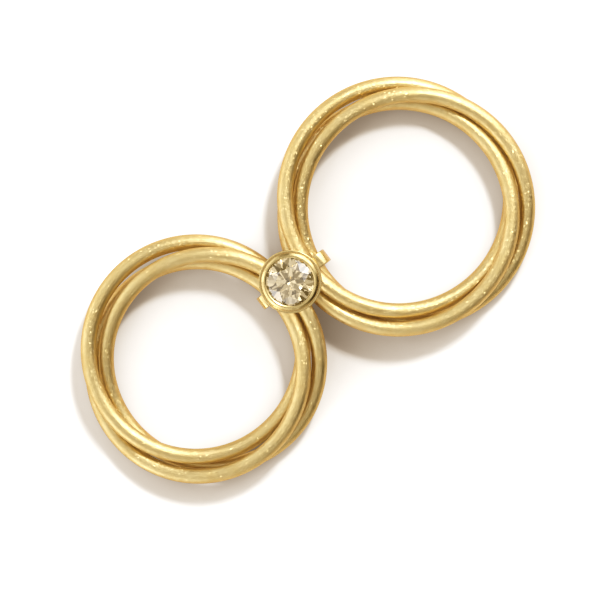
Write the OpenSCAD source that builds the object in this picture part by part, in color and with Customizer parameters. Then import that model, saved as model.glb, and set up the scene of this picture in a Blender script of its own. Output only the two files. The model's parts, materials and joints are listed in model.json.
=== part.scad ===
// Russian wedding ring laid open as a figure of eight: two finger loops, each of three linked wire hoops.
// One strap-like bail ties the loops together and carries a round stone in a rub-over collet.
// Origin: middle of the bail's flat underside. +X runs along the loops to the larger one, and +Z is up.

/* [Wire hoops] */
// Diameter of the round wire that every hoop is made of
wire_d = 1.45; // [1.3:0.05:1.45]
// Middle-line radius of the left set's hoops
left_hoop_r = 10; // [9:0.05:12]
// Middle-line radius of the right set's hoops
right_hoop_r = 10.55; // [9:0.05:12]
// How far each hoop's high side stands above the middle of its set
hoop_lift = 1; // [1:0.05:1.1]
// How far the open loops' far ends dip to the table: left set, degrees
left_dip = 3.2; // [0:0.1:3.2]
// The same for the right set, degrees
right_dip = 2.5; // [0:0.1:2.5]

/* [Bail] */
// Clear length inside the bail, along the loops
bail_clear_l = 6.7; // [6.7:0.05:8]
// Clear height inside the bail
bail_clear_h = 4.05; // [4.05:0.05:5]
// Thickness of the strap that the bail is bent from
bail_wall = 0.45; // [0.4:0.05:0.6]
// Width of that strap, across the loops
bail_w = 1.26; // [1:0.02:1.6]
// Inside radius of the bail's four bends
bail_bend_r = 0.45; // [0.2:0.05:0.7]

/* [Collet] */
// Outside diameter of the collet's rim
collet_d = 5.8; // [5.6:0.1:6.2]
// Outside diameter of the collet where it is soldered to the bail
collet_foot_d = 4; // [3.6:0.1:4.6]
// Height of the rim above the bail
collet_h = 2.6; // [2.5:0.1:3.2]

/* [Stone] */
// Diameter of the stone at its girdle
stone_d = 4.7; // [4.6:0.05:4.7]
// Diameter of the table, as a share of the stone's
table_share = 0.56; // [0.53:0.01:0.62]
// Height of the crown, as a share of the stone's diameter
crown_share = 0.15; // [0.12:0.01:0.16]
// Depth of the pavilion, as a share of the stone's diameter
pavilion_share = 0.43; // [0.41:0.01:0.44]

/* [Hidden] */

round_steps = 96;

// Columns of a hoop's row: how far the hoop sits from its set's centre in mm, which way in degrees,
// and the direction of its high side in degrees. The three high sides are 120 degrees apart, so that
// each hoop passes over one neighbour and under the other, which links the three.
AWAY = 0;
AWAY_TO = 1;
HIGH_TO = 2;
left_hoops = [
    [1.20, 98, 170],
    [0.75, 306, 50],
    [1.20, 198, 290],
];
right_hoops = [
    [0.70, 311, 50],
    [1.10, 190, 290],
    [1.15, 95, 170],
];

// The sets lie a little to one side of the bail, and their middle plane is level with the hinge lines' zero
set_y = -0.9;
set_z = bail_wall + 2.22;
left_centre = [-0.9 - left_hoop_r, set_y, set_z];
right_centre = [2.05 + right_hoop_r, set_y, set_z];

// Lines along Y about which each set turns inside the bail
left_hinge = [-1.35, 0, set_z - 0.28];
right_hinge = [1.5, 0, set_z - 0.15];

bail_x = 0.2;
bail_l = bail_clear_l + 2 * bail_wall;
bail_h = bail_clear_h + 2 * bail_wall;

// The collet's foot sinks this far into the bail's top, as solder does
solder_depth = 0.15;
rim_z = bail_h + collet_h;
rim_r = collet_d / 2;
foot_r = collet_foot_d / 2;
foot_wall = 0.45;

// Section of the stepped rim, from its upright wall inward over the ledge and the cut line to the lip:
// how far in from the rim's edge, and how far below the rim's top
rim_section = [
    [0, 1.00],
    [0, 0.20],
    [0.18, 0.19],
    [0.20, 0.34],
    [0.27, 0.34],
    [0.28, 0.16],
    [0.48, 0],
    [0.60, 0],
    [0.71, 0.05],
];

// The lip is rubbed over the stone's girdle, which rests on a sloping seat
girdle_r = stone_d / 2;
girdle_h = 0.1;
girdle_z = rim_z - 0.3;
lip_cover = 0.17;
lip_edge_z = rim_z - 0.12;
seat_gap = 0.03;
seat_w = 0.4;
seat_drop = 0.36;

module wire_hoop(centre, radius, row) {
    away = row[AWAY] * [cos(row[AWAY_TO]), sin(row[AWAY_TO]), 0];
    translate(centre + away)
        rotate([0, 0, row[HIGH_TO]])
            rotate([0, -asin(hoop_lift / radius), 0])
                rotate_extrude($fn = round_steps)
                    translate([radius, 0])
                        circle(d = wire_d, $fn = round_steps / 2);
}

// Turns its children about a line along Y, with the +X side going down
module dipped(hinge, angle) {
    translate(hinge)
        rotate([0, angle, 0])
            translate(-hinge)
                children();
}

module left_hoop(index) {
    color("#d8b24c")
        dipped(left_hinge, -left_dip)
            wire_hoop(left_centre, left_hoop_r, left_hoops[index]);
}

module right_hoop(index) {
    color("#e0bc58")
        dipped(right_hinge, right_dip)
            wire_hoop(right_centre, right_hoop_r, right_hoops[index]);
}

// Upright block with rounded edges along Y, standing on the table
module rounded_block(length, height, bend_r, width) {
    translate([0, width / 2, height / 2])
        rotate([90, 0, 0])
            linear_extrude(width)
                union() {
                    square([length - 2 * bend_r, height], center = true);
                    square([length, height - 2 * bend_r], center = true);
                    for (side = [-1, 1], level = [-1, 1])
                        translate([side * (length / 2 - bend_r), level * (height / 2 - bend_r)])
                            circle(bend_r, $fn = round_steps);
                }
}

module bail() {
    difference() {
        rounded_block(bail_l, bail_h, bail_bend_r + bail_wall, bail_w);
        translate([0, 0, bail_wall])
            rounded_block(bail_clear_l, bail_clear_h, bail_bend_r, 2 * bail_w);
    }
}

// Tapered tube, open below on both sides of the bail, with the stepped rim and the stone's seat inside
module collet() {
    foot_z = bail_h - solder_depth;
    seat_z = girdle_z - girdle_h - seat_gap;
    foot = [
        [foot_r - foot_wall, foot_z],
        [foot_r, foot_z],
    ];
    rim = [for (step = rim_section) [rim_r - step[0], rim_z - step[1]]];
    seat = [
        [girdle_r - lip_cover, lip_edge_z],
        [girdle_r + seat_gap, girdle_z + 2 * seat_gap],
        [girdle_r + seat_gap, seat_z],
        [girdle_r - seat_w, seat_z - seat_drop],
    ];
    rotate_extrude($fn = round_steps)
        polygon(concat(foot, rim, seat));
}

module setting() {
    color("#d4aa45")
        union() {
            translate([bail_x, 0, 0])
                bail();
            collet();
        }
}

// One ring of points round the stone's axis
function around(count, radius, height, turn = 0) =
    [for (i = [0:count - 1]) [radius * cos(turn + i * 360 / count), radius * sin(turn + i * 360 / count), height]];

// Round brilliant cut: eight-sided table, star, kite and upper halves, girdle, lower halves and mains
module stone() {
    crown_h = crown_share * stone_d;
    pavilion_h = pavilion_share * stone_d;
    table_r = table_share * girdle_r;
    star_r = (table_r + girdle_r) / 2;
    half_r = girdle_r / 4;
    star_h = crown_h * (girdle_r - star_r * cos(22.5)) / (girdle_r - table_r);
    half_h = pavilion_h * (1 - half_r * cos(22.5) / girdle_r);
    points = concat(
        around(8, table_r, crown_h),
        around(8, star_r, star_h, 22.5),
        around(16, girdle_r, 0),
        around(16, girdle_r, -girdle_h),
        around(8, half_r, -girdle_h - half_h, 22.5),
        [[0, 0, -girdle_h - pavilion_h]]
    );
    table = [for (i = [7:-1:0]) i];
    stars = [for (i = [0:7]) [i, (i + 1) % 8, 8 + i]];
    kites = [for (i = [0:7]) [i, 8 + i, 16 + 2 * i, 8 + (i + 7) % 8]];
    upper_halves = [for (i = [0:7], side = [0, 1])
        [8 + i, 16 + (2 * i + 1 + side) % 16, 16 + 2 * i + side]];
    girdle = [for (i = [0:15]) [16 + i, 16 + (i + 1) % 16, 32 + (i + 1) % 16, 32 + i]];
    lower_halves = [for (i = [0:7], side = [0, 1])
        [48 + i, 32 + 2 * i + side, 32 + (2 * i + 1 + side) % 16]];
    mains = [for (i = [0:7]) [56, 48 + (i + 7) % 8, 32 + 2 * i, 48 + i]];
    color("#f5eddb")
        translate([0, 0, girdle_z])
            polyhedron(points, concat([table], stars, kites, upper_halves, girdle, lower_halves, mains));
}

left_hoop(0);  // left_hoop_1
left_hoop(1);  // left_hoop_2
left_hoop(2);  // left_hoop_3
right_hoop(0);  // right_hoop_1
right_hoop(1);  // right_hoop_2
right_hoop(2);  // right_hoop_3
setting();
stone();
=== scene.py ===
import json
import math

import bmesh
import bpy
from mathutils import Matrix, Vector

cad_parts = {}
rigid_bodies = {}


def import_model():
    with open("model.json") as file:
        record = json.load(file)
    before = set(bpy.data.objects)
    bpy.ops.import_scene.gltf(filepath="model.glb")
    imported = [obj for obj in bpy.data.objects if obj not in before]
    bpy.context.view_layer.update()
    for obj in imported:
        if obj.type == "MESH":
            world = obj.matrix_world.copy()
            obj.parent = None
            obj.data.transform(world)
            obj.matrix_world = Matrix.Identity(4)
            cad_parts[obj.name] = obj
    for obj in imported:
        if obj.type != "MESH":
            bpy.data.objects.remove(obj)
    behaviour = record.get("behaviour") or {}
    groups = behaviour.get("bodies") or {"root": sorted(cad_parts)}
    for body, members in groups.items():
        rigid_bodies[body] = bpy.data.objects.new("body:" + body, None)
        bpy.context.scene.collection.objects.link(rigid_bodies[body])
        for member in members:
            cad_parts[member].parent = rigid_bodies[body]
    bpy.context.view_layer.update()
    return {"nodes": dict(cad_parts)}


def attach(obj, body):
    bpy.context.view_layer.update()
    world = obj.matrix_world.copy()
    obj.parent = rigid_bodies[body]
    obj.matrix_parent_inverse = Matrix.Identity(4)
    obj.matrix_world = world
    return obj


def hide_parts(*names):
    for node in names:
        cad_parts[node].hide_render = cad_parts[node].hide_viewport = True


mm = 0.001

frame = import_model()
print("frame loaded, CAD nodes:", ", ".join(sorted(frame["nodes"])))


def linearOf(hexCode):
    parts = [int(hexCode[i:i + 2], 16) / 255 for i in (1, 3, 5)]
    return tuple(c / 12.92 if c <= 0.04045 else ((c + 0.055) / 1.055) ** 2.4 for c in parts) + (1.0,)


def addNode(tree, kind, inputs=None, **settings):
    # Adds one node; an input that is a socket gets a link, any other input a value
    node = tree.nodes.new(kind)
    for name, value in settings.items():
        setattr(node, name, value)
    for name, value in (inputs or {}).items():
        if isinstance(value, bpy.types.NodeSocket):
            tree.links.new(value, node.inputs[name])
        else:
            node.inputs[name].default_value = value
    return node


def newMaterial(name):
    made = bpy.data.materials.new(name)
    made.use_nodes = True
    made.node_tree.nodes.clear()
    return made, made.node_tree


# The ring and the floor are drawn as two layers, each lit and shaded by the other: the paper's tone then
# leaves the ring's edges alone, and a set that is folded down shows below the floor
studio = bpy.context.scene
ringLayer = studio.view_layers[0]
floorLayer = studio.view_layers.new("floor")
ringPieces = bpy.data.collections.new("ringPieces")
floorPieces = bpy.data.collections.new("floorPieces")
for layer, group in ((floorLayer, ringPieces), (ringLayer, floorPieces)):
    studio.collection.children.link(group)
    layer.layer_collection.children[group.name].indirect_only = True


def newObject(name, mesh, group=ringPieces):
    made = bpy.data.objects.new(name, mesh)
    group.objects.link(made)
    return made


# Wire hoops: the same round wire for all six, in two linked sets of three
hoopWire = {
    "wireRadius": 0.725,     # mm
    "loopSteps": 480,
    "wireSteps": 48,
    "handWobble": 0.012,     # mm that bending by hand leaves the hoop out of true, both ways together
    "wobbleSize": 7.0,       # mm from one such place to the next
    "dentDepth": 0.004,      # mm of unevenness left in the wire's surface
    "dentSize": 1.3,         # mm
    "highSide": 1.0,         # mm that a hoop's high side stands above its set's middle
}
# Each row: CAD node, how far the hoop is moved in its set (mm), which way it is moved, and which way its
# high side is (both in degrees)
hoopSets = {
    "left_set": {
        "radius": 10.0, "centre": (-10.9, -0.9, 2.67), "hinge": (-1.35, 0, 2.39), "dip": -3.2,
        "rows": [
            ("left_hoop_1", 1.20, 98, 170),
            ("left_hoop_2", 0.75, 306, 50),
            ("left_hoop_3", 1.20, 198, 290),
        ],
    },
    "right_set": {
        "radius": 10.55, "centre": (12.6, -0.9, 2.67), "hinge": (1.5, 0, 2.52), "dip": 2.5,
        "rows": [
            ("right_hoop_1", 0.70, 311, 50),
            ("right_hoop_2", 1.10, 190, 290),
            ("right_hoop_3", 1.15, 95, 170),
        ],
    },
}

# The alloy of the whole ring, a pale 18 ct yellow gold
ringGold = {
    "colour": "#E5CD96",
    "worn": "#DEC388",             # where the finish has lost a little of its bloom
    "patchSpread": (0.35, 0.7),    # the noise values between which one turns into the other
}

# Satin finish, drawn along the wire with an abrasive pad: a broad soft glow with fine streaks and bright
# specks. Real scratches are some 0.01 mm wide, and streaks, grain and specks are drawn coarser, so that the
# picture shows them.
satinFinish = {
    "roughness": (0.33, 0.54),
    "roughSpread": (0.7, 1.3),              # patches and streaks added up, where the roughness rises
    "streakLength": 4.0, "streakWidth": 0.26, "streakDepth": 0.036,     # mm
    "grainSize": 0.28, "grainDepth": 0.028,                             # mm
    "patchSize": 1.6,                                                   # mm
    "speckSize": 0.15,                      # mm
    "speckTilt": 1.0,                       # a speck leans by up to half of this, where the normal is 1
    "speckRoughness": 0.2,
    "speckShare": 0.12,                     # of the light that the surface returns
}


def makeSatinGold():
    made, tree = newMaterial("satinGold18ct")
    place = addNode(tree, "ShaderNodeTexCoord").outputs["Object"]
    along = addNode(tree, "ShaderNodeAttribute", attribute_name="alongHoop").outputs["Vector"]
    aroundWire = addNode(tree, "ShaderNodeAttribute", attribute_name="roundWire").outputs["Vector"]
    alongParts = addNode(tree, "ShaderNodeSeparateXYZ", {0: along}).outputs
    aroundParts = addNode(tree, "ShaderNodeSeparateXYZ", {0: aroundWire}).outputs

    def scaled(socket, size):
        return addNode(tree, "ShaderNodeMath", {
            0: socket, 1: 1 / (size * mm)}, operation="MULTIPLY").outputs[0]

    # Streaks follow the wire: long along the hoop and narrow round the wire, with no seam either way
    length, width = satinFinish["streakLength"], satinFinish["streakWidth"]
    streakPlace = addNode(tree, "ShaderNodeCombineXYZ", {
        0: scaled(alongParts["X"], length), 1: scaled(alongParts["Y"], length),
        2: scaled(aroundParts["X"], width)})
    streaks = addNode(tree, "ShaderNodeTexNoise", {
        "Vector": streakPlace.outputs[0], "W": scaled(aroundParts["Y"], width),
        "Scale": 1.0, "Detail": 3.0, "Roughness": 0.6}, noise_dimensions="4D").outputs["Fac"]
    grain = addNode(tree, "ShaderNodeTexNoise", {
        "Vector": place, "Scale": 1 / (satinFinish["grainSize"] * mm),
        "Detail": 2.0, "Roughness": 0.6}).outputs["Fac"]
    patches = addNode(tree, "ShaderNodeTexNoise", {
        "Vector": place, "Scale": 1 / (satinFinish["patchSize"] * mm),
        "Detail": 4.0, "Roughness": 0.62}).outputs["Fac"]

    streakBump = addNode(tree, "ShaderNodeBump", {
        "Strength": 1.0, "Distance": satinFinish["streakDepth"] * mm, "Height": streaks})
    grainBump = addNode(tree, "ShaderNodeBump", {
        "Strength": 1.0, "Distance": satinFinish["grainDepth"] * mm, "Height": grain,
        "Normal": streakBump.outputs["Normal"]})

    fresh, dulled = ringGold["patchSpread"]
    worn = addNode(tree, "ShaderNodeMapRange", {0: patches, 1: fresh, 2: dulled})
    colour = addNode(tree, "ShaderNodeMix", {
        0: worn.outputs[0], 6: linearOf(ringGold["colour"]), 7: linearOf(ringGold["worn"])},
        data_type="RGBA")
    low, high = satinFinish["roughness"]
    smoothest, roughest = satinFinish["roughSpread"]
    mixed = addNode(tree, "ShaderNodeMath", {0: patches, 1: streaks}, operation="ADD")
    rough = addNode(tree, "ShaderNodeMapRange", {
        0: mixed.outputs[0], 1: smoothest, 2: roughest, 3: low, 4: high})
    satin = addNode(tree, "ShaderNodeBsdfPrincipled", {
        "Base Color": colour.outputs[2], "Metallic": 1.0, "Roughness": rough.outputs[0],
        "Normal": grainBump.outputs["Normal"]})

    # Bright specks: small smoother facets among the scratches, each leaning its own way
    cells = addNode(tree, "ShaderNodeTexVoronoi", {
        "Vector": place, "Scale": 1 / (satinFinish["speckSize"] * mm)})
    lean = addNode(tree, "ShaderNodeVectorMath", {
        0: cells.outputs["Color"], 1: (0.5, 0.5, 0.5)}, operation="SUBTRACT")
    leaned = addNode(tree, "ShaderNodeVectorMath", {
        0: lean.outputs[0], "Scale": satinFinish["speckTilt"]}, operation="SCALE")
    tipped = addNode(tree, "ShaderNodeVectorMath", {
        0: grainBump.outputs["Normal"], 1: leaned.outputs[0]}, operation="ADD")
    facing = addNode(tree, "ShaderNodeVectorMath", {0: tipped.outputs[0]}, operation="NORMALIZE")
    specks = addNode(tree, "ShaderNodeBsdfPrincipled", {
        "Base Color": colour.outputs[2], "Metallic": 1.0, "Roughness": satinFinish["speckRoughness"],
        "Normal": facing.outputs[0]})
    shader = addNode(tree, "ShaderNodeMixShader", {
        0: satinFinish["speckShare"], 1: satin.outputs["BSDF"], 2: specks.outputs["BSDF"]})
    addNode(tree, "ShaderNodeOutputMaterial", {"Surface": shader.outputs[0]})
    return made


def hoopTree():
    tree = bpy.data.node_groups.new("wireHoop", "GeometryNodeTree")
    kinds = {
        "Hoop Radius": "NodeSocketFloat", "Wire Radius": "NodeSocketFloat", "Loop Steps": "NodeSocketInt",
        "Wire Steps": "NodeSocketInt", "Hand Wobble": "NodeSocketFloat", "Wobble Size": "NodeSocketFloat",
        "Dent Depth": "NodeSocketFloat", "Dent Size": "NodeSocketFloat", "Seed": "NodeSocketFloat",
        "Centre": "NodeSocketVector", "Turn": "NodeSocketVector", "Gold": "NodeSocketMaterial",
    }
    for name, kind in kinds.items():
        tree.interface.new_socket(name, in_out="INPUT", socket_type=kind)
    tree.interface.new_socket("Geometry", in_out="OUTPUT", socket_type="NodeSocketGeometry")
    given = addNode(tree, "NodeGroupInput").outputs
    here = addNode(tree, "GeometryNodeInputPosition").outputs[0]

    def unevenness(size, depth, seed):
        # A vector that changes smoothly from place to place, at most half of depth each way
        scale = addNode(tree, "ShaderNodeMath", {0: 1.0, 1: size}, operation="DIVIDE")
        noise = addNode(tree, "ShaderNodeTexNoise", {
            "Vector": here, "W": seed, "Scale": scale.outputs[0], "Detail": 1.0}, noise_dimensions="4D")
        middle = addNode(tree, "ShaderNodeVectorMath", {
            0: noise.outputs["Color"], 1: (0.5, 0.5, 0.5)}, operation="SUBTRACT")
        return addNode(tree, "ShaderNodeVectorMath", {
            0: middle.outputs[0], "Scale": depth}, operation="SCALE").outputs[0]

    loop = addNode(tree, "GeometryNodeCurvePrimitiveCircle", {
        "Resolution": given["Loop Steps"], "Radius": given["Hoop Radius"]})
    section = addNode(tree, "GeometryNodeCurvePrimitiveCircle", {
        "Resolution": given["Wire Steps"], "Radius": given["Wire Radius"]})
    places = []
    for line in (loop, section):
        kept = addNode(tree, "GeometryNodeCaptureAttribute")
        kept.capture_items.new("VECTOR", "Place")
        tree.links.new(line.outputs["Curve"], kept.inputs["Geometry"])
        tree.links.new(here, kept.inputs["Place"])
        places.append(kept.outputs)
    bent = addNode(tree, "GeometryNodeSetPosition", {
        "Geometry": places[0]["Geometry"],
        "Offset": unevenness(given["Wobble Size"], given["Hand Wobble"], given["Seed"])})
    tube = addNode(tree, "GeometryNodeCurveToMesh", {
        "Curve": bent.outputs[0], "Profile Curve": places[1]["Geometry"]})
    dented = addNode(tree, "GeometryNodeSetPosition", {
        "Geometry": tube.outputs["Mesh"],
        "Offset": unevenness(given["Dent Size"], given["Dent Depth"], given["Seed"])})
    marked = dented.outputs[0]
    for name, outputs in zip(("alongHoop", "roundWire"), places):
        marked = addNode(tree, "GeometryNodeStoreNamedAttribute", {
            "Geometry": marked, "Name": name, "Value": outputs["Place"]},
            data_type="FLOAT_VECTOR").outputs[0]
    smooth = addNode(tree, "GeometryNodeSetShadeSmooth", {"Geometry": marked})
    placed = addNode(tree, "GeometryNodeTransform", {
        "Geometry": smooth.outputs["Geometry"], "Translation": given["Centre"], "Rotation": given["Turn"]})
    whole = addNode(tree, "GeometryNodeRealizeInstances", {"Geometry": placed.outputs["Geometry"]})
    gold = addNode(tree, "GeometryNodeSetMaterial", {
        "Geometry": whole.outputs["Geometry"], "Material": given["Gold"]})
    addNode(tree, "NodeGroupOutput", {"Geometry": gold.outputs["Geometry"]})
    return tree


def evaluatedMesh(piece):
    # A plain mesh of what the piece's modifiers make of it
    bpy.context.view_layer.update()
    return bpy.data.meshes.new_from_object(piece.evaluated_get(bpy.context.evaluated_depsgraph_get()))


def runTree(name, tree, values):
    # Grows a mesh from a Geometry Nodes tree and keeps it as a plain mesh object
    grower = newObject("grower", bpy.data.meshes.new("grower"))
    modifier = grower.modifiers.new("grow", "NODES")
    modifier.node_group = tree
    sockets = {item.name: item.identifier for item in tree.interface.items_tree if item.in_out == "INPUT"}
    for socketName, value in values.items():
        modifier[sockets[socketName]] = value
    grown = evaluatedMesh(grower)
    grower.modifiers.remove(modifier)
    bpy.data.objects.remove(grower)
    grown.name = name
    return newObject(name, grown)


def turned(degrees, axis):
    return Matrix.Rotation(math.radians(degrees), 4, axis)


def hoopPlace(hoopSet, away, awayTo, highTo):
    # The place of one hoop, turned in the order of the CAD part: high side, offset, then its set's dip
    heading = math.radians(awayTo)
    offset = Vector((away * math.cos(heading), away * math.sin(heading), 0))
    lift = math.asin(hoopWire["highSide"] / hoopSet["radius"])
    hinge = Vector(hoopSet["hinge"])
    own = (Matrix.Translation(Vector(hoopSet["centre"]) + offset) @ turned(highTo, "Z")
           @ Matrix.Rotation(-lift, 4, "Y"))
    return Matrix.Translation(hinge) @ turned(hoopSet["dip"], "Y") @ Matrix.Translation(-hinge) @ own


satinGold = makeSatinGold()
wireHoop = hoopTree()
seed = 1.0
for body, hoopSet in hoopSets.items():
    for node, away, awayTo, highTo in hoopSet["rows"]:
        place = hoopPlace(hoopSet, away, awayTo, highTo)
        side, number = node.split("_")[0], node.split("_")[2]
        hoop = runTree(side + "Hoop" + number, wireHoop, {
            "Hoop Radius": hoopSet["radius"] * mm, "Wire Radius": hoopWire["wireRadius"] * mm,
            "Loop Steps": hoopWire["loopSteps"], "Wire Steps": hoopWire["wireSteps"],
            "Hand Wobble": hoopWire["handWobble"] * mm, "Wobble Size": hoopWire["wobbleSize"] * mm,
            "Dent Depth": hoopWire["dentDepth"] * mm, "Dent Size": hoopWire["dentSize"] * mm, "Seed": seed,
            "Centre": place.to_translation() * mm, "Turn": Vector(place.to_euler()), "Gold": satinGold})
        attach(hoop, body)
        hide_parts(node)
        seed += 1
print("six wire hoops made")


# Setting: a turned collet soldered on a strap that is bent round both sets
collet = {
    "turnSteps": 192,
    "cornerSteps": 5,
    # Section of the collet in mm: distance from the axis, height, and how far the corner is rounded
    "section": [
        (1.55, 4.80, 0.03), (2.00, 4.80, 0.05),      # foot
        (2.90, 6.55, 0.50), (2.90, 7.35, 0.06),      # cone, upright wall
        (2.72, 7.36, 0.02), (2.70, 7.21, 0.02),      # narrow ledge, into the cut line
        (2.63, 7.21, 0.02), (2.62, 7.39, 0.02),      # out of the cut line
        (2.42, 7.545, 0.05), (2.30, 7.55, 0.05),     # sloping face of the lip, its top
        (2.19, 7.50, 0.03), (2.18, 7.43, 0.02),      # rubbed down over the stone
        (2.38, 7.31, 0.0), (2.38, 7.12, 0.0), (1.95, 6.76, 0.03),   # the stone's seat
    ],
}
strap = {
    "middle": 0.2, "length": 7.6, "height": 4.95, "width": 1.26, "thickness": 0.45,   # mm
    "outerBend": 0.9, "edgeRound": 0.09,                                              # mm
    "bendSteps": 16, "flatSteps": 12, "edgeSteps": 5,
}
inwards, outwards = -1, 1              # from the collet's wall
solder = {
    "reach": 0.20, "climb": 0.16,      # mm along the strap and up the collet
    "halfAngle": 17.0, "steps": 16,    # degrees of the collet's foot each side of the strap's middle line
    "thinnest": 0.04,                  # share of its size that is left at both ends
    "hollow": (0.22, 0.30),            # shares of reach and climb that its face sags by
    "sunk": 0.08,                      # mm that it lies in the strap and the collet
    # The collet's inner and outer face where they meet the strap: mm from the axis, then mm outwards per mm up
    "faces": {inwards: (1.58, 0.204), outwards: (2.077, 0.514)},
}
settingFinish = {
    "mergeGap": 0.001,                 # mm; the unions leave a few points closer together than this
    "sharpFrom": 32.0,                 # degrees between two faces from which their edge stays sharp
}
polishedFinish = {
    "roughness": (0.18, 0.30),
    "rubSize": 0.9,                                 # mm, patches where polish has dulled
    "scratchSize": 0.22, "scratchDepth": 0.0006,    # mm, fine wear scratches, drawn coarser than real
}


def makePolishedGold():
    # Polished by hand: sharp bright lines along every edge, a little softened by wear
    made, tree = newMaterial("polishedGold18ct")
    place = addNode(tree, "ShaderNodeTexCoord").outputs["Object"]
    rubbed = addNode(tree, "ShaderNodeTexNoise", {
        "Vector": place, "Scale": 1 / (polishedFinish["rubSize"] * mm), "Detail": 4.0}).outputs["Fac"]
    scratches = addNode(tree, "ShaderNodeTexNoise", {
        "Vector": place, "Scale": 1 / (polishedFinish["scratchSize"] * mm), "Detail": 5.0, "Roughness": 0.7,
        "Distortion": 2.0}).outputs["Fac"]
    bump = addNode(tree, "ShaderNodeBump", {
        "Strength": 1.0, "Distance": polishedFinish["scratchDepth"] * mm, "Height": scratches})
    fresh, dulled = ringGold["patchSpread"]
    low, high = polishedFinish["roughness"]
    rough = addNode(tree, "ShaderNodeMapRange", {0: rubbed, 1: fresh, 2: dulled, 3: low, 4: high})
    colour = addNode(tree, "ShaderNodeMix", {
        0: rubbed, 6: linearOf(ringGold["colour"]), 7: linearOf(ringGold["worn"])}, data_type="RGBA")
    shader = addNode(tree, "ShaderNodeBsdfPrincipled", {
        "Base Color": colour.outputs[2], "Metallic": 1.0, "Roughness": rough.outputs[0],
        "Normal": bump.outputs["Normal"]})
    addNode(tree, "ShaderNodeOutputMaterial", {"Surface": shader.outputs["BSDF"]})
    return made


def roundedLine(corners, steps):
    # A closed line through (a, b, rounding) corners, with an arc in place of each rounded corner
    line = []
    for i, (a, b, rounding) in enumerate(corners):
        corner = Vector((a, b))
        before = Vector(corners[i - 1][:2]) - corner
        after = Vector(corners[(i + 1) % len(corners)][:2]) - corner
        if rounding <= 0:
            line.append(corner)
            continue
        half = before.angle(after) / 2
        run = min(rounding / math.tan(half), 0.45 * before.length, 0.45 * after.length)   # no two arcs meet
        first, last = corner + before.normalized() * run, corner + after.normalized() * run
        bisector = (before.normalized() + after.normalized()).normalized()
        centre = corner + bisector * (run / math.cos(half))
        radius = run * math.tan(half)
        sweep = (first - centre).angle_signed(last - centre)
        start = math.atan2(first.y - centre.y, first.x - centre.x)
        for step in range(steps + 1):
            angle = start - sweep * step / steps
            line.append(centre + radius * Vector((math.cos(angle), math.sin(angle))))
    return line


def closedGrid(rows, joinEnds):
    # A mesh of rows of points, each row a closed loop; the first and last row join up, or each gets a cap
    shape = bmesh.new()
    grid = [[shape.verts.new(Vector(point) * mm) for point in row] for row in rows]
    count = len(grid[0])
    pairs = list(zip(grid, grid[1:])) + ([(grid[-1], grid[0])] if joinEnds else [])
    for low, high in pairs:
        for i in range(count):
            shape.faces.new((low[i], low[(i + 1) % count], high[(i + 1) % count], high[i]))
    if not joinEnds:
        shape.faces.new(reversed(grid[0]))
        shape.faces.new(grid[-1])
    bmesh.ops.recalc_face_normals(shape, faces=shape.faces)
    return shape


def meshOf(name, shape):
    mesh = bpy.data.meshes.new(name)
    shape.to_mesh(mesh)
    shape.free()
    return mesh


def colletShape():
    section = roundedLine(collet["section"], collet["cornerSteps"])
    rows = []
    for step in range(collet["turnSteps"]):
        angle = 2 * math.pi * step / collet["turnSteps"]
        rows.append([(p.x * math.cos(angle), p.x * math.sin(angle), p.y) for p in section])
    return closedGrid(rows, joinEnds=True)


def strapShape():
    # Path along the strap's outer face with its outward direction, then the strap's section at each place
    bend = strap["outerBend"]
    right, top = strap["length"] / 2 - bend, strap["height"] - bend
    path = []
    for x, z, start in ((right, top, 0), (-right, top, 90), (-right, bend, 180), (right, bend, 270)):
        for step in range(strap["bendSteps"] + 1):
            angle = math.radians(start + 90 * step / strap["bendSteps"])
            out = Vector((math.cos(angle), math.sin(angle)))
            path.append((Vector((x, z)) + out * bend, out))
    full = []
    for i, (point, out) in enumerate(path):
        full.append((point, out))
        after = path[(i + 1) % len(path)][0]
        if (after - point).length > bend:
            full += [(point.lerp(after, step / strap["flatSteps"]), out)
                     for step in range(1, strap["flatSteps"])]
    halfWidth, thickness, edge = strap["width"] / 2, strap["thickness"], strap["edgeRound"]
    section = roundedLine([
        (0, -halfWidth, edge), (0, halfWidth, edge),
        (thickness, halfWidth, edge), (thickness, -halfWidth, edge)], strap["edgeSteps"])
    rows = [[(strap["middle"] + (point - out * p.x).x, p.y, (point - out * p.x).y) for p in section]
            for point, out in full]
    return closedGrid(rows, joinEnds=True)


def solderShape(side, way):
    # A small fillet of solder between the strap's top and the collet's foot, thinning out to both ends
    top, sunk = strap["height"], solder["sunk"]
    wall, lean = solder["faces"][way]
    rows = []
    for step in range(solder["steps"] + 1):
        part = 2 * step / solder["steps"] - 1
        size = max(solder["thinnest"], math.sqrt(max(0.0, 1 - part * part)))
        angle = math.radians(side + part * solder["halfAngle"])
        reach, climb = solder["reach"] * size, solder["climb"] * size
        toe, upper = wall + way * reach, wall + lean * climb
        sag = ((toe + upper) / 2 - way * reach * solder["hollow"][0], top + climb * solder["hollow"][1])
        line = [(toe, top), sag, (upper, top + climb), (upper - way * sunk, top + climb),
                (wall - way * sunk, top - sunk), (toe, top - sunk)]
        rows.append([(r * math.cos(angle), r * math.sin(angle), z) for r, z in line])
    return closedGrid(rows, joinEnds=False)


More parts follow.
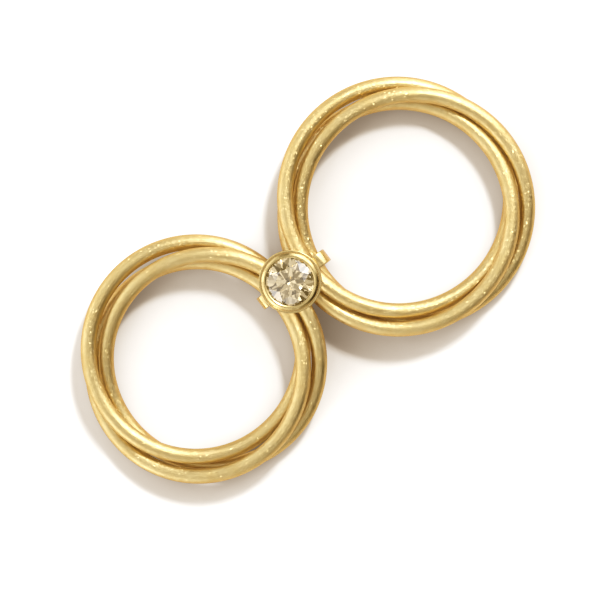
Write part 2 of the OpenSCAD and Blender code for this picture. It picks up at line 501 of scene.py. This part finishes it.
setting = newObject("setting_gold", meshOf("setting_gold", colletShape()))
additions = [("strap", strapShape())]
additions += [("solder", solderShape(side, way)) for side in (0, 180) for way in (outwards, inwards)]
for name, shape in additions:
    other = newObject(name, meshOf(name, shape))
    union = setting.modifiers.new("union", "BOOLEAN")
    union.operation, union.solver, union.object = "UNION", "EXACT", other
    solid = evaluatedMesh(setting)
    setting.modifiers.remove(union)
    setting.data = solid
    bpy.data.objects.remove(other)
settingMesh = setting.data
settingMesh.name = "setting_gold"
seam = bmesh.new()
seam.from_mesh(settingMesh)
bmesh.ops.dissolve_degenerate(seam, dist=settingFinish["mergeGap"] * mm, edges=seam.edges)
bmesh.ops.remove_doubles(seam, verts=seam.verts, dist=settingFinish["mergeGap"] * mm)
seam.to_mesh(settingMesh)
seam.free()
settingMesh.materials.clear()
settingMesh.materials.append(makePolishedGold())
settingMesh.polygons.foreach_set("use_smooth", [True] * len(settingMesh.polygons))
settingMesh.set_sharp_from_angle(angle=math.radians(settingFinish["sharpFrom"]))
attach(setting, "setting")
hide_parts("setting")
print("setting made:", len(settingMesh.polygons), "faces")


# Stone: a round brilliant, cut from a cylinder one facet at a time
brilliant = {
    "colour": "#F5DDB0",
    "girdleRadius": 2.35, "girdleTop": 7.25, "girdleHeight": 0.1,        # mm
    "tableShare": 0.56, "crownShare": 0.15, "pavilionShare": 0.43,       # of the diameter
    "lowerHalves": 0.25,                                                 # of the radius, where they end
    "roundSteps": 96,
    "turn": 8.0,                                                         # degrees
    "spare": 1.0,                                                        # mm of the cylinder above and below
    "cutGap": 1e-6, "mergeGap": 1e-5,                                    # mm
}


def makeDiamond():
    # Polished diamond, faintly champagne: mirror-bright facets that turn over what stands round them
    made, tree = newMaterial("cutDiamond")
    shader = addNode(tree, "ShaderNodeBsdfPrincipled", {
        "Base Color": linearOf(brilliant["colour"]), "Roughness": 0.0, "IOR": 2.42,
        "Transmission Weight": 1.0})
    addNode(tree, "ShaderNodeOutputMaterial", {"Surface": shader.outputs["BSDF"]})
    return made


def brilliantShape():
    radius, girdle = brilliant["girdleRadius"], brilliant["girdleHeight"]
    crown, pavilion = 2 * radius * brilliant["crownShare"], 2 * radius * brilliant["pavilionShare"]
    table = radius * brilliant["tableShare"]
    star = (table + radius) / 2
    half = radius * brilliant["lowerHalves"]
    starHeight = crown * (radius - star * math.cos(math.pi / 8)) / (radius - table)
    halfDepth = pavilion * (1 - half * math.cos(math.pi / 8) / radius)

    def at(r, z, degrees):
        return Vector((r * math.cos(math.radians(degrees)), r * math.sin(math.radians(degrees)), z))

    # Three points of each facet's plane: the table, then for each eighth a kite, star, main and four halves
    facets = [(at(table, crown, 0), at(table, crown, 45), at(table, crown, 90))]
    for turn in range(0, 360, 45):
        tableCorner, starTip = at(table, crown, turn), at(star, starHeight, turn + 22.5)
        girdleTop, girdleFoot = at(radius, 0, turn), at(radius, -girdle, turn)
        facets.append((tableCorner, starTip, girdleTop))
        facets.append((tableCorner, at(table, crown, turn + 45), starTip))
        facets.append((at(0, -girdle - pavilion, 0), at(half, -girdle - halfDepth, turn + 22.5), girdleFoot))
        for aside in (turn - 22.5, turn + 22.5):
            facets.append((girdleTop, at(radius, 0, aside), at(star, starHeight, aside)))
            facets.append((girdleFoot, at(radius, -girdle, aside), at(half, -girdle - halfDepth, aside)))
    shape = bmesh.new()
    bmesh.ops.create_cone(shape, cap_ends=True, segments=brilliant["roundSteps"],
                          radius1=radius, radius2=radius, depth=2 * (pavilion + brilliant["spare"]))
    middle = Vector((0, 0, -girdle / 2))
    for a, b, c in facets:
        outward = (b - a).cross(c - a).normalized()
        if outward.dot(a - middle) < 0:
            outward.negate()
        cut = bmesh.ops.bisect_plane(
            shape, geom=shape.verts[:] + shape.edges[:] + shape.faces[:], dist=brilliant["cutGap"],
            plane_co=a, plane_no=outward, clear_outer=True)
        rim = [item for item in cut["geom_cut"] if isinstance(item, bmesh.types.BMEdge) and item.is_boundary]
        if rim:
            bmesh.ops.contextual_create(shape, geom=rim)
    bmesh.ops.remove_doubles(shape, verts=shape.verts, dist=brilliant["mergeGap"])
    bmesh.ops.recalc_face_normals(shape, faces=shape.faces)
    place = (Matrix.Scale(mm, 4) @ Matrix.Translation((0, 0, brilliant["girdleTop"]))
             @ turned(brilliant["turn"], "Z"))
    bmesh.ops.transform(shape, matrix=place, verts=shape.verts)
    return shape


stone = newObject("stone_brilliant", meshOf("stone_brilliant", brilliantShape()))
stone.data.materials.append(makeDiamond())
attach(stone, "setting")
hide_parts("stone")
print("stone made:", len(stone.data.polygons), "facets")


# Soft studio: pale floor, lights and camera. The gold mirrors the floor's warm off-white, which the camera
# doesn't see, because the floor only catches shadows and the picture's paper is made at the end
floorSet = {
    "radius": 1500.0, "below": 0.01,      # mm
    "colour": "#EDDBC0", "roughness": 0.9,
    "steps": 96,
}


def makeFloor():
    made, tree = newMaterial("paleFloor")
    shader = addNode(tree, "ShaderNodeBsdfPrincipled", {
        "Base Color": linearOf(floorSet["colour"]), "Roughness": floorSet["roughness"],
        "Specular IOR Level": 0.0})
    # Only its upper side is there, so that light also reaches what is folded down below it
    gone = addNode(tree, "ShaderNodeBsdfTransparent")
    underside = addNode(tree, "ShaderNodeNewGeometry").outputs["Backfacing"]
    oneSided = addNode(tree, "ShaderNodeMixShader", {
        0: underside, 1: shader.outputs["BSDF"], 2: gone.outputs["BSDF"]})
    addNode(tree, "ShaderNodeOutputMaterial", {"Surface": oneSided.outputs[0]})
    shape = bmesh.new()
    bmesh.ops.create_circle(shape, cap_ends=True, segments=floorSet["steps"], radius=floorSet["radius"] * mm,
                            matrix=Matrix.Translation((0, 0, -floorSet["below"] * mm)))
    mesh = meshOf("floor", shape)
    mesh.materials.append(made)
    return newObject("floor", mesh, floorPieces)


floor = makeFloor()
floor.is_shadow_catcher = True

# Each light: where it hangs seen from the object (degrees round the picture from its right, degrees up),
# its distance and width in mm, and its power in watts
pictureTurn = -36.93     # degrees from +X to the picture's right
studioLights = {
    "key": {"bearing": 64, "up": 50, "distance": 300, "width": 45, "power": 0.36},
}


def direction(bearing, up):
    heading, height = math.radians(bearing + pictureTurn), math.radians(up)
    flat = math.cos(height)
    return Vector((math.cos(heading) * flat, math.sin(heading) * flat, math.sin(height)))


# The setting stands high, and the photograph shows no shadow of it inside the loop
unshaded = bpy.data.collections.new("noKeyShadow")
for piece in (setting, stone):
    unshaded.objects.link(piece)

for name, row in studioLights.items():
    light = bpy.data.lights.new(name, "AREA")
    light.shape = "DISK"
    light.size = row["width"] * mm
    light.energy = row["power"]
    lamp = bpy.data.objects.new(name, light)
    studio.collection.objects.link(lamp)
    toLamp = direction(row["bearing"], row["up"])
    lamp.matrix_world = (Matrix.Translation(toLamp * row["distance"] * mm)
                         @ toLamp.to_track_quat("Z", "Y").to_matrix().to_4x4())
    lamp.light_linking.blocker_collection = unshaded
for member in unshaded.collection_objects:
    member.light_linking.link_state = "EXCLUDE"

# White tent round the set: an even glow, with brighter and darker walls
tent = {
    "glow": 0.77,
    "least": 0.10,
    "foldScale": 5.0,
    "foldSpread": (0.38, 0.62),      # the noise values between which a fold turns from dark to bright
    "foldTone": (0.3, 1.65),         # how much the folds darken and brighten the cloth
    "tone": (1.0, 1.12, 1.5),        # powers for red, green and blue: dark walls are warm, bright ones white
    "walls": [   # degrees round, degrees up, how tight, how bright
        (60, 6, 20, 4.6),
        (48, 38, 20, 1.7),
        (165, 5, 8, 1.4),
        (225, 5, 18, 1.8),
        (210, 30, 8, 0.4),
        (342, 14, 5, -1.0),
        (330, 45, 3, -0.3),
        (105, 20, 20, -0.5),
    ],
}
world = bpy.data.worlds.new("whiteTent")
studio.world = world
world.use_nodes = True
sky = world.node_tree
sky.nodes.clear()
toSky = addNode(sky, "ShaderNodeTexCoord").outputs["Generated"]
cloth = tent["glow"]
for bearing, up, tight, strength in tent["walls"]:
    facing = addNode(sky, "ShaderNodeVectorMath", {
        0: toSky, 1: direction(bearing, up)}, operation="DOT_PRODUCT")
    front = addNode(sky, "ShaderNodeMath", {0: facing.outputs["Value"], 1: 0.0}, operation="MAXIMUM")
    wall = addNode(sky, "ShaderNodeMath", {0: front.outputs[0], 1: tight}, operation="POWER")
    cloth = addNode(sky, "ShaderNodeMath", {
        0: wall.outputs[0], 1: strength, 2: cloth}, operation="MULTIPLY_ADD").outputs[0]
cloth = addNode(sky, "ShaderNodeMath", {0: cloth, 1: tent["least"]}, operation="MAXIMUM")
waves = addNode(sky, "ShaderNodeTexNoise", {"Vector": toSky, "Scale": tent["foldScale"], "Detail": 1.0})
(lowest, highest), (darker, brighter) = tent["foldSpread"], tent["foldTone"]
folds = addNode(sky, "ShaderNodeMapRange", {
    0: waves.outputs["Fac"], 1: lowest, 2: highest, 3: darker, 4: brighter})
folded = addNode(sky, "ShaderNodeMath", {
    0: cloth.outputs[0], 1: folds.outputs[0]}, operation="MULTIPLY").outputs[0]
dark = addNode(sky, "ShaderNodeMath", {0: folded, 1: 1.0}, operation="MINIMUM").outputs[0]
bright = addNode(sky, "ShaderNodeMath", {0: folded, 1: 1.0}, operation="MAXIMUM").outputs[0]
tinted = addNode(sky, "ShaderNodeCombineColor")
for channel, tone in enumerate(tent["tone"]):
    toned = addNode(sky, "ShaderNodeMath", {0: dark, 1: tone}, operation="POWER").outputs[0]
    sky.links.new(toned, tinted.inputs[channel])
tentLight = addNode(sky, "ShaderNodeBackground", {"Color": tinted.outputs[0], "Strength": bright})
addNode(sky, "ShaderNodeOutputWorld", {"Surface": tentLight.outputs[0]})

cameraSet = {
    "lookAt": (-0.5006, -1.8832, 2.67),   # mm, the point in the middle of the picture
    "distance": 300,                      # mm
    "roll": -36.926, "pitch": -1.757, "yaw": 2.081,   # degrees, each turn after the one before
    "frameWidth": 55.75,                  # mm across the picture at that distance
}
lens = bpy.data.cameras.new("camera")
lens.sensor_width = 36
lens.lens = lens.sensor_width * cameraSet["distance"] / cameraSet["frameWidth"]
lens.clip_start, lens.clip_end = 0.01, 10
camera = bpy.data.objects.new("camera", lens)
studio.collection.objects.link(camera)
turn = turned(cameraSet["roll"], "Z") @ turned(cameraSet["pitch"], "X") @ turned(cameraSet["yaw"], "Y")
camera.matrix_world = (Matrix.Translation(Vector(cameraSet["lookAt"]) * mm) @ turn
                       @ Matrix.Translation((0, 0, cameraSet["distance"] * mm)))
studio.camera = camera
print("floor, lights, tent and camera made")

# The picture: white paper, burnt out as in the photograph, then the floor's shadows on it, then the ring
picture = {
    "paper": 1.55,
    "shadowTone": (1.38, 1.59, 1.86),     # powers for red, green and blue that make the shadows warm
    # A gentle tone curve: brightness in and out
    "curve": [
        (0.0, 0.0), (0.05, 0.034), (0.1, 0.082), (0.2, 0.189), (0.5, 0.521), (0.7, 0.715), (1.0, 0.95),
    ],
}
studio.render.film_transparent = True
studio.view_settings.view_transform = "Standard"
studio.view_settings.use_curve_mapping = True
toneCurve = studio.view_settings.curve_mapping
toneCurve.extend = "EXTRAPOLATED"
for x, y in picture["curve"][1:-1]:
    toneCurve.curves[3].points.new(x, y)
toneCurve.curves[3].points[-1].location = picture["curve"][-1]
toneCurve.update()
studio.use_nodes = True
finishing = studio.node_tree
finishing.nodes.clear()
ringShot = addNode(finishing, "CompositorNodeRLayers", layer=ringLayer.name)
floorShot = addNode(finishing, "CompositorNodeRLayers", layer=floorLayer.name)
clear = addNode(finishing, "CompositorNodeMath", {
    0: 1.0, 1: floorShot.outputs["Alpha"]}, operation="SUBTRACT")
paper = addNode(finishing, "CompositorNodeCombineColor", {3: 1.0})
for channel, tone in enumerate(picture["shadowTone"]):
    shade = addNode(finishing, "CompositorNodeMath", {0: clear.outputs[0], 1: tone}, operation="POWER")
    lit = addNode(finishing, "CompositorNodeMath", {
        0: shade.outputs[0], 1: picture["paper"]}, operation="MULTIPLY").outputs[0]
    finishing.links.new(lit, paper.inputs[channel])
both = addNode(finishing, "CompositorNodeAlphaOver", {
    0: 1.0, 1: paper.outputs[0], 2: ringShot.outputs["Image"]})
whole = addNode(finishing, "CompositorNodeSetAlpha", {
    "Image": both.outputs[0], "Alpha": 1.0}, mode="REPLACE_ALPHA")
addNode(finishing, "CompositorNodeComposite", {"Image": whole.outputs["Image"]})
